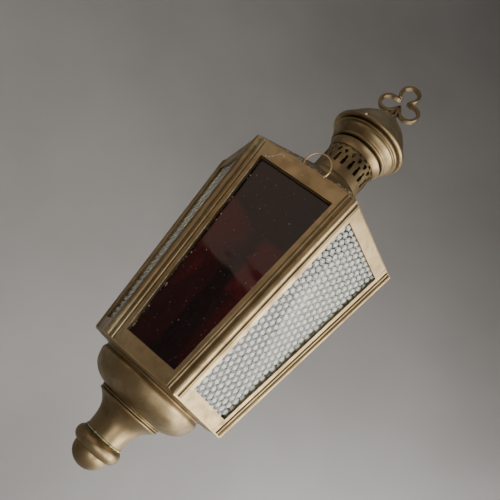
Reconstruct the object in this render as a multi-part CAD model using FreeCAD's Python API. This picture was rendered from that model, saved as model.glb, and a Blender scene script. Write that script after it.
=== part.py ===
import FreeCAD, Part
import math
import os

V = FreeCAD.Vector
Z_AXIS = V(0, 0, 1)

# Six-sided candle lantern, +Z up, origin at the lowest point of the knob, ruby face towards -Y.
# Units are millimetres. Heights of the glazed body are counted from the base plate's top.

# Glazed body
BODY_HEIGHT = 180.0
TOP_CORNER_RADIUS = 89.5
BASE_CORNER_RADIUS = 65.8
FRAME_DEPTH = 2.0
TOP_RAIL_HEIGHT = 11.3
BOTTOM_RAIL_HEIGHT = 10.6
RAIL_SET_BACK = 0.2

# Corner moulding, across the face from the corner line
FLANGE_REACH = 10.9
NOSE_RADIUS = 3.0
NOSE_INSET = 2.2
BEAD_FROM_CORNER = 5.7
BEAD_RADIUS = 1.15
BEAD_RISE = 0.85
GROOVE_DEPTH = 0.45
FLAT_FROM_CORNER = 7.7

# Fixed glass and its clips
PANE_THICKNESS = 2.5
PANE_GAP = 0.2
PANE_LAP = 4.7
CLIP_HEIGHT = 6.0
CLIP_SHEET = 0.8
CLIP_LEG = 3.0
CLIP_LEVELS = (38.0, 140.0)

# Ruby slide in the front face
RUBY_THICKNESS = 2.5
RUBY_RECESS = 2.2
SLIDE_FRAME_DEPTH = 5.6
SLIDE_GAP = 0.4
SLIDE_SIDE_GAP = 0.3
SLIDE_SHOW = 0.5
SLIDE_BAR = 4.0
GLASS_CLEARANCE = 0.1
RUBY_TUCK = 1.0
GUIDE_SHEET = 1.0
GUIDE_LEG = 3.0
STOP_HEIGHT = 3.0
SLIDE_TOP_DROP = 2.0

# Pull loop
LOOP_RADIUS = 10.4
LOOP_WIRE_RADIUS = 0.65
LOOP_CENTRE_RISE = 10.0
LOOP_OFFSET = 5.0
LOOP_FOOT_ANGLE = 50.0
LOOP_DEPTH = 1.65

# Base plate, bowl, neck and knob
PLATE_THICKNESS = 1.2
SHEET = 0.9
BOWL_HEIGHT = 25.0
BOWL_RADIUS = 46.4
BOWL_FOOT_RADIUS = 28.0
BOWL_RIM_GAP = 0.4
BOWL_WAIST_STEP = 0.9
# Bowl from the foot up, as shares of its swell and height, then from the waist out to the rim
BOWL_SWELL = ((0.5, 0.15), (0.83, 0.37), (0.978, 0.63), (1, 0.79))
BOWL_WAIST_LEVEL = 0.89
BOWL_LIP = (0.3, 0.955)
# Where the bowl's profile starts and ends, as shares of the sheet
BOWL_FOOT_LIFT = 0.3
BOWL_RIM_DROP = 0.4
RINGS_HEIGHT = 4.2
RINGS_RADIUS = 27.6
RINGS_BORE = 20.0
NECK_HEIGHT = 24.6
NECK_RADIUS = 15.9
NECK_TAPER = 1.2
NECK_FLARE = 9.4
NECK_FLARE_POWER = 4
NECK_STEPS = (0, 0.25, 0.5, 0.7, 0.85, 1)
KNOB_BALL_RADIUS = 14.8
KNOB_BALL_HALF_HEIGHT = 13.0
BALL_STEPS = 6
KNOB_GROOVE_RADIUS = 13.8
KNOB_BEAD_RADIUS = 6.0
KNOB_SPIGOT_HEIGHT = 5.0
KNOB_SPIGOT_GAP = 0.2

# Roof and chimney
ROOF_SHEET = 1.1
ROOF_EDGE = 1.0
ROOF_FLANGE = 3.0
ROOF_SLOPE = 33.4
SLOT_MARGIN = 0.8
TUBE_RADIUS = 23.2
TUBE_WALL = 0.8
TUBE_TUCK = 4.0
SEAT_GAP = 0.05
COLLAR_WIDTH = 3.9
COLLAR_HEIGHT = 5.6
COLLAR_SKIRT = 3.0
COLLAR_LIP = 0.3
# Highest point of the collar's bend, as shares of its width and of its drop
COLLAR_BEND = (0.72, 0.3)
COLLAR_SHOWN = 0.75
TUBE_SHOWN = 28.4

# Pierced band, heights from the collar's top edge
PIERCE_COUNT = 20
SLOT_START = 9.2
SLOT_FOOT_HEIGHT = 6.4
SLOT_FOOT_WIDTH = 3.3
SLOT_WAIST_HEIGHT = 1.7
SLOT_WAIST_WIDTH = 2.1
SLOT_HEAD_RADIUS = 1.45
SLOT_CHAMFER = 0.3
DROP_RADIUS = 1.9
DROP_TAIL = 4.2
DROP_RISE = 2.2
LENS_WIDTH = 5.0
LENS_HEIGHT = 2.1
LENS_RISE = 8.9
LENS_UNDER = 0.1
PIERCE_TURN = 3.0

# Cap
CAP_COLLAR_HEIGHT = 9.0
CAP_COLLAR_FLARE = 2.3
CAP_COLLAR_WALL = 0.8
CAP_COLLAR_ROUND = 0.8
CAP_COLLAR_LIP = 0.3
# Cap's collar, as a share of its flare and of its height, and the height of its lip
CAP_COLLAR_SWELL = (0.25, 0.3)
CAP_COLLAR_LIP_LEVEL = 0.66
CAP_GROOVE = 1.6
CAP_FOOT_WIDTH = 1.2
SKIRT_HEIGHT = 17.6
RIM_RADIUS = 36.8
BRIM_INSET = 2.4
BRIM_HEIGHT = 2.6
CROWN_POWER = 1.08
DOME_HEIGHT = 33.7
# Brim's upper half as shares of its inset and height, and the levels that the crown goes through
BRIM_PROFILE = ((0, 0), (0.15, 0.5), (0.5, 0.88), (0.85, 0.88))
CROWN_LEVELS = (0.02, 0.14, 0.3, 0.5, 0.7, 0.85, 0.95, 1)
# Underside of the cap, as shares of its width and height from the foot up
SKIRT_PROFILE = ((0, 0), (0.2, 0.006), (0.31, 0.06), (0.3, 0.125), (0.225, 0.165), (0.34, 0.274),
                 (0.5, 0.397), (0.585, 0.53), (0.6, 0.625), (0.7, 0.65), (0.745, 0.705), (0.7, 0.76),
                 (0.63, 0.795), (0.72, 0.835), (0.9, 0.85), (0.98, 0.905), (1, 1))
SKIRT_BACK = ((0, 0), (0.18, 0.17), (0.45, 0.39), (0.58, 0.58), (0.65, 0.815), (0.92, 0.9), (1, 1))

# Trefoil finial
TREFOIL_CENTRE_RISE = 21.9
LOBE_SPACING = 12.4
LOBE_RADIUS = 8.6
STRIP_THICKNESS = 3.1
STRIP_DEPTH = 5.2
CUSP_RADIUS = 5.2
LEG_SPREAD = 4.8
LEG_TUCK = 3.0
LOBE_ANGLES = (90, 210, 330)
CUSP_TURN = 60

# Candle
CANDLE_RADIUS = 9.0
CANDLE_HEIGHT = 86.0
CANDLE_SHOULDER = 0.45
SOCKET_CLEARANCE = 0.2
SOCKET_WALL = 0.7
SOCKET_HEIGHT = 11.0
PAN_RADIUS = 21.0
PAN_HEIGHT = 3.4
WICK_RADIUS = 0.8
WICK_HEIGHT = 7.0

# How far a cutter reaches past the piece it cuts
CUT_MARGIN = 5.0

# Heights of the stacked pieces above the origin
KNOB_JOINT = KNOB_BALL_HALF_HEIGHT + 2 * KNOB_BEAD_RADIUS
NECK_TOP = KNOB_JOINT + NECK_HEIGHT
BOWL_FOOT = NECK_TOP + RINGS_HEIGHT
PLATE_BOTTOM = BOWL_FOOT + BOWL_HEIGHT
BASE = PLATE_BOTTOM + PLATE_THICKNESS
BODY_TOP = BASE + BODY_HEIGHT
COS30 = math.cos(math.radians(30))
ROOF_RISE = (TOP_CORNER_RADIUS * COS30 - TUBE_RADIUS) * math.tan(math.radians(ROOF_SLOPE))
COLLAR_TOP = BODY_TOP + ROOF_EDGE + ROOF_RISE + COLLAR_HEIGHT * COLLAR_SHOWN
CAP_BASE = COLLAR_TOP + TUBE_SHOWN
SKIRT_BASE = CAP_BASE + CAP_COLLAR_HEIGHT
RIM = SKIRT_BASE + SKIRT_HEIGHT
DOME_TOP = RIM + DOME_HEIGHT

# Azimuths of the faces' middles and of the corners
FACES = {"front": -90, "front_right": -30, "back_right": 30,
         "back": 90, "back_left": 150, "front_left": -150}
CORNERS = {"front_right": -60, "right": 0, "back_right": 60,
           "back_left": 120, "left": 180, "front_left": -120}
SLIDE_FRONT = FRAME_DEPTH + SLIDE_GAP
SLIDE_EDGE = FLANGE_REACH + SLIDE_SHOW - SLIDE_BAR
RUBY_FRONT = SLIDE_FRONT + RUBY_RECESS


def polar(radius, azimuth, z=0.0):
    angle = math.radians(azimuth)
    return V(radius * math.cos(angle), radius * math.sin(angle), z)


def corner_radius(height):
    """Distance from the axis to the body's corner line at a height above the base plate."""
    return BASE_CORNER_RADIUS + (TOP_CORNER_RADIUS - BASE_CORNER_RADIUS) * height / BODY_HEIGHT


def half_side(height):
    return corner_radius(height) / 2


def slope_direction(azimuth):
    """Unit vector that runs up a leaning face along its middle."""
    lean = (TOP_CORNER_RADIUS - BASE_CORNER_RADIUS) * COS30
    direction = polar(lean, azimuth, BODY_HEIGHT)
    return direction.normalize()


def face_point(azimuth, across, height, depth):
    """Point on a leaning face: across its middle line, at a height, and a level depth behind it."""
    sideways = polar(across, azimuth + 90)
    return polar(corner_radius(height) * COS30 - depth, azimuth, BASE + height) + sideways


def panel(azimuth, corners, front, back):
    """Flat piece in a leaning face, from (across, height) corners and its front and back depths."""
    points = [face_point(azimuth, across, height, front) for across, height in corners]
    outline = Part.makePolygon(points + points[:1])
    return Part.Face(outline).extrude(polar(front - back, azimuth))


def taper(edge, low, high):
    """Corners of a trapezoid that stays one distance inside both corner lines."""
    wide, narrow = half_side(high) - edge, half_side(low) - edge
    return [(-narrow, low), (narrow, low), (wide, high), (-wide, high)]


def side_strip(side, outer, inner, low, high):
    """Corners of a strip that follows one corner line, between two distances from it."""
    return [(side * (half_side(low) - outer), low), (side * (half_side(low) - inner), low),
            (side * (half_side(high) - inner), high), (side * (half_side(high) - outer), high)]


def cylinder(radius, low, high):
    return Part.makeCylinder(radius, high - low, V(0, 0, low))


def tube(outer, inner, low, high):
    return cylinder(outer, low, high).cut(cylinder(inner, low - CUT_MARGIN, high + CUT_MARGIN))


def curve(points):
    """Smooth profile through (radius, height) points."""
    spline = Part.BSplineCurve()
    spline.interpolate([V(radius, 0, z) for radius, z in points])
    return spline


def inset(spline, points, wall):
    """The same points moved inwards by the wall, square to the profile."""
    moved = []
    for radius, z in points:
        along = spline.tangent(spline.parameter(V(radius, 0, z)))[0]
        moved.append((radius - wall * along.z, z + wall * along.x))
    return moved


def line(start, end):
    return Part.LineSegment(V(start[0], 0, start[1]), V(end[0], 0, end[1])).toShape()


def revolve(edges):
    face = Part.Face(Part.Wire(Part.__sortEdges__(edges)))
    return face.revolve(V(0, 0, 0), Z_AXIS, 360)


def spun_shell(points, backing=None, closed_top=False):
    """Sheet spun to a profile that runs upwards, open at both ends or closed on the axis.

    The inside follows the same profile, or a smoother backing that leaves the beads solid.
    """
    outer = curve(points)
    behind = backing or points
    inner_points = inset(curve(behind), behind, SHEET)
    if closed_top:
        inner_points[-1] = (0, points[-1][1] - SHEET)
    edges = [outer.toShape(), curve(inner_points).toShape(), line(points[0], inner_points[0])]
    edges.append(line(points[-1], inner_points[-1]))
    return revolve(edges)


def hexagon(radius, z):
    corners = [polar(radius, 60 * k, z) for k in range(6)]
    return corners


def hexagon_block(levels):
    """Solid with a hexagon at each (corner radius, height) level, from the lowest up."""
    rings = [hexagon(radius, z) for radius, z in levels]
    faces = [Part.Face(Part.makePolygon(ring + ring[:1])) for ring in (rings[0], rings[-1])]
    for lower, upper in zip(rings, rings[1:]):
        for k in range(6):
            after = (k + 1) % 6
            outline = [lower[k], lower[after], upper[after], upper[k], lower[k]]
            faces.append(Part.Face(Part.makePolygon(outline)))
    return Part.makeSolid(Part.makeShell(faces)).removeSplitter()


def corner_post(azimuth):
    """Moulded corner bar: a half-round nose, a bead and a flat flange along each face."""
    corner = polar(BASE_CORNER_RADIUS, azimuth, BASE)

    def at(side, along, out):
        return corner + polar(along, azimuth + 120 * side) + polar(out, azimuth + 30 * side)

    nose_low = NOSE_INSET * COS30 - GROOVE_DEPTH
    nose_foot = NOSE_INSET / 2 + math.sqrt(NOSE_RADIUS ** 2 - nose_low ** 2)
    bead_near = BEAD_FROM_CORNER - BEAD_RADIUS
    bead_far = BEAD_FROM_CORNER + BEAD_RADIUS
    valley = corner - polar(FRAME_DEPTH / COS30, azimuth)
    edges = []
    for side in (-1, 1):
        flat = at(side, FLAT_FROM_CORNER, 0)
        far = at(side, bead_far, -GROOVE_DEPTH)
        near = at(side, bead_near, -GROOVE_DEPTH)
        edges.append(Part.makeLine(at(side, FLANGE_REACH, 0), flat))
        edges.append(Part.makeLine(flat, far))
        edges.append(Part.Arc(far, at(side, BEAD_FROM_CORNER, BEAD_RISE), near).toShape())
        edges.append(Part.makeLine(near, at(side, nose_foot, -GROOVE_DEPTH)))
        edges.append(Part.makeLine(at(side, FLANGE_REACH, 0), at(side, FLANGE_REACH, -FRAME_DEPTH)))
        edges.append(Part.makeLine(at(side, FLANGE_REACH, -FRAME_DEPTH), valley))
    tip = corner + polar(NOSE_RADIUS - NOSE_INSET, azimuth)
    feet = [at(side, nose_foot, -GROOVE_DEPTH) for side in (-1, 1)]
    edges.append(Part.Arc(feet[0], tip, feet[1]).toShape())
    face = Part.Face(Part.Wire(Part.__sortEdges__(edges)))
    return face.extrude(polar(TOP_CORNER_RADIUS - BASE_CORNER_RADIUS, azimuth, BODY_HEIGHT))


def bottom_rail(azimuth):
    return panel(azimuth, taper(FLANGE_REACH, 0, BOTTOM_RAIL_HEIGHT), RAIL_SET_BACK, FRAME_DEPTH)


def top_rail(azimuth):
    corners = taper(FLANGE_REACH, BODY_HEIGHT - TOP_RAIL_HEIGHT, BODY_HEIGHT)
    return panel(azimuth, corners, RAIL_SET_BACK, FRAME_DEPTH)


def fixed_pane(azimuth):
    front = FRAME_DEPTH + PANE_GAP
    low = BOTTOM_RAIL_HEIGHT - PANE_LAP
    high = BODY_HEIGHT - TOP_RAIL_HEIGHT + PANE_LAP
    return panel(azimuth, taper(FLANGE_REACH - PANE_LAP, low, high), front, front + PANE_THICKNESS)


def pane_clips():
    """Bent tabs on the backs of the posts that hold the fixed panes."""
    pane_back = FRAME_DEPTH + PANE_GAP + PANE_THICKNESS
    edge = FLANGE_REACH - PANE_LAP - PANE_GAP
    clips = []
    for name, azimuth in FACES.items():
        if name == "front":
            continue
        for side in (-1, 1):
            for low in CLIP_LEVELS:
                high = low + CLIP_HEIGHT
                back = pane_back + PANE_GAP + CLIP_SHEET
                web = panel(azimuth, side_strip(side, edge, edge - CLIP_SHEET, low, high), FRAME_DEPTH, back)
                leg_corners = side_strip(side, edge + CLIP_LEG, edge - CLIP_SHEET, low, high)
                leg = panel(azimuth, leg_corners, back - CLIP_SHEET, back)
                clips.append(web.fuse(leg).removeSplitter())
    return Part.makeCompound(clips)


def ruby_pane(clearance=0.0):
    """Coloured glass of the slide, or the groove for it when a clearance is given."""
    edge = SLIDE_EDGE + RUBY_TUCK - clearance
    low = STOP_HEIGHT + RUBY_TUCK - clearance
    high = BODY_HEIGHT - SLIDE_TOP_DROP - RUBY_TUCK + clearance
    back = RUBY_FRONT + RUBY_THICKNESS + clearance
    return panel(FACES["front"], taper(edge, low, high), RUBY_FRONT - clearance, back)


def slide_frame():
    low, high = STOP_HEIGHT, BODY_HEIGHT - SLIDE_TOP_DROP
    back = SLIDE_FRONT + SLIDE_FRAME_DEPTH
    block = panel(FACES["front"], taper(SLIDE_EDGE, low, high), SLIDE_FRONT, back)
    window_low = BOTTOM_RAIL_HEIGHT + SLIDE_SHOW
    window_high = BODY_HEIGHT - TOP_RAIL_HEIGHT - SLIDE_SHOW
    window = taper(FLANGE_REACH + SLIDE_SHOW, window_low, window_high)
    opening = panel(FACES["front"], window, SLIDE_FRONT - CUT_MARGIN, back + CUT_MARGIN)
    return block.cut(opening).cut(ruby_pane(GLASS_CLEARANCE))


def slide_guide(side):
    """Channel behind a front post that the slide's edge runs in."""
    azimuth = FACES["front"]
    outer = SLIDE_EDGE - SLIDE_SIDE_GAP
    back = SLIDE_FRONT + SLIDE_FRAME_DEPTH + SLIDE_GAP + GUIDE_SHEET
    high = BODY_HEIGHT - SLIDE_TOP_DROP
    web = panel(azimuth, side_strip(side, outer, outer - GUIDE_SHEET, 0, high), FRAME_DEPTH, back)
    leg_corners = side_strip(side, outer + GUIDE_LEG, outer - GUIDE_SHEET, 0, high)
    return web.fuse(panel(azimuth, leg_corners, back - GUIDE_SHEET, back)).removeSplitter()


def slide_stop():
    """Ledge on the base plate, between the guides, that the slide rests on."""
    back = SLIDE_FRONT + SLIDE_FRAME_DEPTH
    return panel(FACES["front"], taper(SLIDE_EDGE + GUIDE_LEG, 0, STOP_HEIGHT), FRAME_DEPTH, back)


def pull_loop():
    """Wire loop on the slide, open at the bottom, with two short feet on the slide's top bar."""
    azimuth = FACES["front"]
    up = slope_direction(azimuth)
    side = polar(1, azimuth + 90)
    normal = side.cross(up)
    depth = SLIDE_FRONT + LOOP_DEPTH
    centre = face_point(azimuth, LOOP_OFFSET, BODY_HEIGHT - SLIDE_TOP_DROP + LOOP_CENTRE_RISE, depth)
    start = math.radians(-LOOP_FOOT_ANGLE)
    first = centre + side * (LOOP_RADIUS * math.cos(start)) + up * (LOOP_RADIUS * math.sin(start))
    tangent = up * math.cos(start) - side * math.sin(start)
    section = Part.Face(Part.Wire(Part.makeCircle(LOOP_WIRE_RADIUS, first, tangent)))
    loop = section.revolve(centre, normal, 180 + 2 * LOOP_FOOT_ANGLE)
    drop = LOOP_CENTRE_RISE
    for sign in (-1, 1):
        end = centre + side * (sign * LOOP_RADIUS * math.cos(start)) + up * (LOOP_RADIUS * math.sin(start))
        loop = loop.fuse(Part.makeSphere(LOOP_WIRE_RADIUS, end))
        loop = loop.fuse(Part.makeCylinder(LOOP_WIRE_RADIUS, drop, end, up * -1))
    bar_top = BODY_TOP - SLIDE_TOP_DROP
    return loop.cut(cylinder(2 * TOP_CORNER_RADIUS, BASE, bar_top))


def base_plate():
    return hexagon_block([(BASE_CORNER_RADIUS, PLATE_BOTTOM), (BASE_CORNER_RADIUS, BASE)])


def bowl():
    """Spun bowl under the base plate: a flat foot, a full belly and a flared rim."""
    foot, belly, top = BOWL_FOOT_RADIUS, BOWL_RADIUS, PLATE_BOTTOM
    rim = BASE_CORNER_RADIUS * COS30 - BOWL_RIM_GAP
    waist = belly - BOWL_WAIST_STEP
    points = [(foot, BOWL_FOOT + SHEET * BOWL_FOOT_LIFT)]
    for share, rise in BOWL_SWELL:
        points.append((foot + share * (belly - foot), BOWL_FOOT + rise * BOWL_HEIGHT))
    points.append((waist, BOWL_FOOT + BOWL_WAIST_LEVEL * BOWL_HEIGHT))
    points.append((waist + BOWL_LIP[0] * (rim - waist), BOWL_FOOT + BOWL_LIP[1] * BOWL_HEIGHT))
    points.append((rim, top - SHEET * BOWL_RIM_DROP))
    shell = spun_shell(points).common(cylinder(rim + CUT_MARGIN, BOWL_FOOT, top))
    return shell.fuse(cylinder(foot, BOWL_FOOT, BOWL_FOOT + SHEET)).removeSplitter()


def neck_rings():
    """Collar between neck and bowl with two half-round beads."""
    bead = RINGS_HEIGHT / 4
    body = tube(RINGS_RADIUS - bead, RINGS_BORE, NECK_TOP, BOWL_FOOT)
    for k in (1, 3):
        ring = Part.makeTorus(RINGS_RADIUS - bead, bead, V(0, 0, NECK_TOP + k * bead))
        body = body.fuse(ring)
    return body.removeSplitter()


def neck_radius(height):
    share = height / NECK_HEIGHT
    return NECK_RADIUS + NECK_TAPER * share + NECK_FLARE * share ** NECK_FLARE_POWER


def neck():
    levels = [NECK_HEIGHT * share for share in NECK_STEPS]
    points = [(neck_radius(height), KNOB_JOINT + height) for height in levels]
    return spun_shell(points).common(cylinder(BOWL_RADIUS, KNOB_JOINT, NECK_TOP))


def bottom_knob():
    """Turned knob: half a flattened ball, a groove, a bead and a spigot inside the neck."""
    equator = KNOB_BALL_HALF_HEIGHT
    ball = []
    for step in range(BALL_STEPS + 1):
        angle = math.radians(90 * step / BALL_STEPS)
        ball.append((KNOB_BALL_RADIUS * math.sin(angle), equator * (1 - math.cos(angle))))
    groove, bead_top = (KNOB_GROOVE_RADIUS, equator), (KNOB_GROOVE_RADIUS, KNOB_JOINT)
    crest = V(KNOB_GROOVE_RADIUS + KNOB_BEAD_RADIUS, 0, equator + KNOB_BEAD_RADIUS)
    bead = Part.Arc(V(groove[0], 0, groove[1]), crest, V(bead_top[0], 0, bead_top[1])).toShape()
    edges = [curve(ball).toShape(), line(ball[-1], groove), bead,
             line(bead_top, (0, KNOB_JOINT)), line((0, KNOB_JOINT), (0, 0))]
    seat = cylinder(neck_radius(0), KNOB_JOINT - SHEET, KNOB_JOINT)
    spigot_radius = NECK_RADIUS - SHEET - KNOB_SPIGOT_GAP
    spigot = cylinder(spigot_radius, KNOB_JOINT - SHEET, KNOB_JOINT + KNOB_SPIGOT_HEIGHT)
    return revolve(edges).fuse(seat).fuse(spigot).removeSplitter()


def roof_block(lift):
    """The pyramid under the roof's outer face, moved up by the lift."""
    hole_corner = TUBE_RADIUS / COS30
    rise = (TOP_CORNER_RADIUS - hole_corner) * COS30 * math.tan(math.radians(ROOF_SLOPE))
    edge_top = BODY_TOP + ROOF_EDGE + lift
    base = min(BODY_TOP, edge_top - ROOF_EDGE)
    levels = [(TOP_CORNER_RADIUS, base), (TOP_CORNER_RADIUS, edge_top), (hole_corner, edge_top + rise)]
    return hexagon_block(levels)


def roof():
    """Six-sided sheet roof with a flat flange on the rails, a slot for the slide and a chimney hole."""
    outer = roof_block(0)
    drop = ROOF_SHEET / math.cos(math.radians(ROOF_SLOPE))
    flange = hexagon_block([(TOP_CORNER_RADIUS, BODY_TOP), (TOP_CORNER_RADIUS, BODY_TOP + ROOF_EDGE)])
    inside = TOP_CORNER_RADIUS - ROOF_FLANGE
    flange = flange.cut(hexagon_block([(inside, BODY_TOP - 1), (inside, BODY_TOP + ROOF_EDGE + 1)]))
    sheet = outer.cut(roof_block(-drop)).fuse(flange)
    half_slot = half_side(BODY_HEIGHT) - SLIDE_EDGE + SLOT_MARGIN
    low, high = BODY_HEIGHT - 5, BODY_HEIGHT + 20
    corners = [(-half_slot, low), (half_slot, low), (half_slot, high), (-half_slot, high)]
    back = SLIDE_FRONT + SLIDE_FRAME_DEPTH + SLOT_MARGIN
    slot = panel(FACES["front"], corners, FRAME_DEPTH, back)
    hole = cylinder(TUBE_RADIUS + SEAT_GAP, BODY_TOP - CUT_MARGIN, DOME_TOP)
    return sheet.cut(slot).cut(hole).removeSplitter()


def chimney_collar():
    """Half-round ring that covers the joint of roof and chimney."""
    bore = TUBE_RADIUS + SEAT_GAP
    outer = TUBE_RADIUS + COLLAR_WIDTH
    shoulder = COLLAR_TOP - COLLAR_HEIGHT
    low = shoulder - COLLAR_SKIRT
    lip = bore + COLLAR_LIP
    across, drop = COLLAR_BEND
    middle = V(bore + across * COLLAR_WIDTH, 0, COLLAR_TOP - drop * COLLAR_HEIGHT)
    crown = Part.Arc(V(lip, 0, COLLAR_TOP), middle, V(outer, 0, shoulder)).toShape()
    edges = [crown, line((outer, shoulder), (outer, low)), line((outer, low), (bore, low)),
             line((bore, low), (bore, COLLAR_TOP)), line((bore, COLLAR_TOP), (lip, COLLAR_TOP))]
    return revolve(edges).cut(roof_block(0)).removeSplitter()


def radial_cut(azimuth, points_to_wire):
    """Cutter through the tube's wall at one azimuth, from an outline of (across, z) points."""
    side = polar(1, azimuth + 90)
    origin = polar(TUBE_RADIUS + CUT_MARGIN, azimuth)
    wire = points_to_wire(lambda across, z: origin + side * across + V(0, 0, z))
    return Part.Face(wire).extrude(polar(-TUBE_WALL - 2 * CUT_MARGIN, azimuth))


def slot_outline(at):
    """Tall slot: a rectangular foot, a narrow waist and a round head."""
    foot = COLLAR_TOP + SLOT_START
    shoulder = foot + SLOT_FOOT_HEIGHT
    waist = SLOT_WAIST_WIDTH / 2
    neck_top = shoulder + SLOT_WAIST_HEIGHT
    head = neck_top + math.sqrt(SLOT_HEAD_RADIUS ** 2 - waist ** 2)
    half = SLOT_FOOT_WIDTH / 2
    chamfer = shoulder - half * SLOT_CHAMFER
    points = [at(-waist, neck_top), at(-waist, shoulder), at(-half, chamfer), at(-half, foot),
              at(half, foot), at(half, chamfer), at(waist, shoulder), at(waist, neck_top)]
    edges = [Part.makeLine(start, end) for start, end in zip(points, points[1:])]
    edges.append(Part.Arc(points[-1], at(0, head + SLOT_HEAD_RADIUS), points[0]).toShape())
    return Part.Wire(edges)


def drop_outline(at):
    """Drop-shaped hole with its point down."""
    centre = COLLAR_TOP + SLOT_START + SLOT_FOOT_HEIGHT + SLOT_WAIST_HEIGHT + DROP_TAIL + DROP_RISE
    tangent = math.asin(DROP_RADIUS / DROP_TAIL)
    x, z = DROP_RADIUS * math.cos(tangent), centre - DROP_RADIUS * math.sin(tangent)
    tip = at(0, centre - DROP_TAIL)
    left, right = at(-x, z), at(x, z)
    crown = Part.Arc(right, at(0, centre + DROP_RADIUS), left).toShape()
    return Part.Wire([Part.makeLine(tip, right), crown, Part.makeLine(left, tip)])


def lens_outline(at):
    """Thin pointed slit, arched upwards."""
    low = COLLAR_TOP + SLOT_START + SLOT_FOOT_HEIGHT + SLOT_WAIST_HEIGHT + LENS_RISE
    half = LENS_WIDTH / 2
    left, right = at(-half, low), at(half, low)
    over = Part.Arc(left, at(0, low + LENS_HEIGHT), right).toShape()
    under = Part.Arc(right, at(0, low + LENS_HEIGHT * LENS_UNDER), left).toShape()
    return Part.Wire([over, under])


def gallery_tube():
    """Chimney tube with its pierced band: slots, drops half a step round, and slits over the slots."""
    wall = tube(TUBE_RADIUS, TUBE_RADIUS - TUBE_WALL, COLLAR_TOP - COLLAR_HEIGHT - TUBE_TUCK, SKIRT_BASE)
    step = 360 / PIERCE_COUNT
    cutters = []
    for k in range(PIERCE_COUNT):
        azimuth = PIERCE_TURN + k * step
        cutters.append(radial_cut(azimuth, slot_outline))
        cutters.append(radial_cut(azimuth + step / 2, drop_outline))
        cutters.append(radial_cut(azimuth, lens_outline))
    return wall.cut(cutters)


def cap_collar():
    """Flared ring round the top of the tube, with a rounded upper edge."""
    bore = TUBE_RADIUS + SEAT_GAP
    foot = bore + CAP_COLLAR_WALL
    top = SKIRT_BASE - CAP_GROOVE
    lip = foot + CAP_COLLAR_FLARE
    share, rise = CAP_COLLAR_SWELL
    low = (lip - CAP_COLLAR_LIP, CAP_BASE + CAP_COLLAR_LIP_LEVEL * CAP_COLLAR_HEIGHT)
    high = (lip - CAP_COLLAR_ROUND, top)
    swell = (foot + share * CAP_COLLAR_FLARE, CAP_BASE + rise * CAP_COLLAR_HEIGHT)
    crest = V(lip, 0, top - CAP_COLLAR_ROUND)
    crown = Part.Arc(V(low[0], 0, low[1]), crest, V(high[0], 0, high[1]))
    edges = [curve([(foot, CAP_BASE), swell, low]).toShape(), crown.toShape(), line(high, (bore, top)),
             line((bore, top), (bore, CAP_BASE)), line((bore, CAP_BASE), (foot, CAP_BASE))]
    groove = tube(bore + CAP_FOOT_WIDTH, bore, top - SHEET, SKIRT_BASE)
    return revolve(edges).fuse(groove).removeSplitter()


def cap_skirt():
    """Underside of the cap: a small bead, a wide ogee, a rim bead, a groove and the brim's lower half."""
    foot = TUBE_RADIUS + SEAT_GAP + CAP_FOOT_WIDTH
    width, height = RIM_RADIUS - foot, RIM - SKIRT_BASE

    def scaled(profile):
        return [(foot + share * width, SKIRT_BASE + rise * height) for share, rise in profile]

    shell = spun_shell(scaled(SKIRT_PROFILE), scaled(SKIRT_BACK))
    return shell.common(cylinder(RIM_RADIUS + CUT_MARGIN, SKIRT_BASE, RIM))


def dome_points():
    """Profile of the cap's top: the brim's upper half, a groove and a crown that closes on the axis."""
    spring_radius, spring = RIM_RADIUS - BRIM_INSET, RIM + BRIM_HEIGHT
    points = [(RIM_RADIUS - share * BRIM_INSET, RIM + rise * BRIM_HEIGHT) for share, rise in BRIM_PROFILE]
    for share in CROWN_LEVELS:
        radius = spring_radius * math.sqrt(1 - share ** CROWN_POWER)
        points.append((radius, spring + share * (DOME_TOP - spring)))
    return points


def cap_dome():
    points = dome_points()
    behind = points[:1] + points[len(BRIM_PROFILE):]
    shell = spun_shell(points, behind, closed_top=True)
    return shell.common(cylinder(RIM_RADIUS + CUT_MARGIN, RIM, DOME_TOP))


def dome_block():
    """Everything under the dome's outer face."""
    edges = [curve(dome_points()).toShape(), line((RIM_RADIUS, RIM), (0, RIM)), line((0, RIM), (0, DOME_TOP))]
    return revolve(edges)


def strip_line(start, end):
    """Straight stretch of the finial's strip, between two (x, z) points."""
    run = V(end[0] - start[0], 0, end[1] - start[1])
    bar = Part.makeBox(run.Length, STRIP_DEPTH, STRIP_THICKNESS, V(0, -STRIP_DEPTH / 2, -STRIP_THICKNESS / 2))
    bar.rotate(V(0, 0, 0), V(0, 1, 0), -math.degrees(math.atan2(run.z, run.x)))
    return bar.translated(V(start[0], 0, start[1]))


def strip_disc(radius, x, z):
    return Part.makeCylinder(radius, STRIP_DEPTH, V(x, -STRIP_DEPTH / 2, z), V(0, 1, 0))


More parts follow.
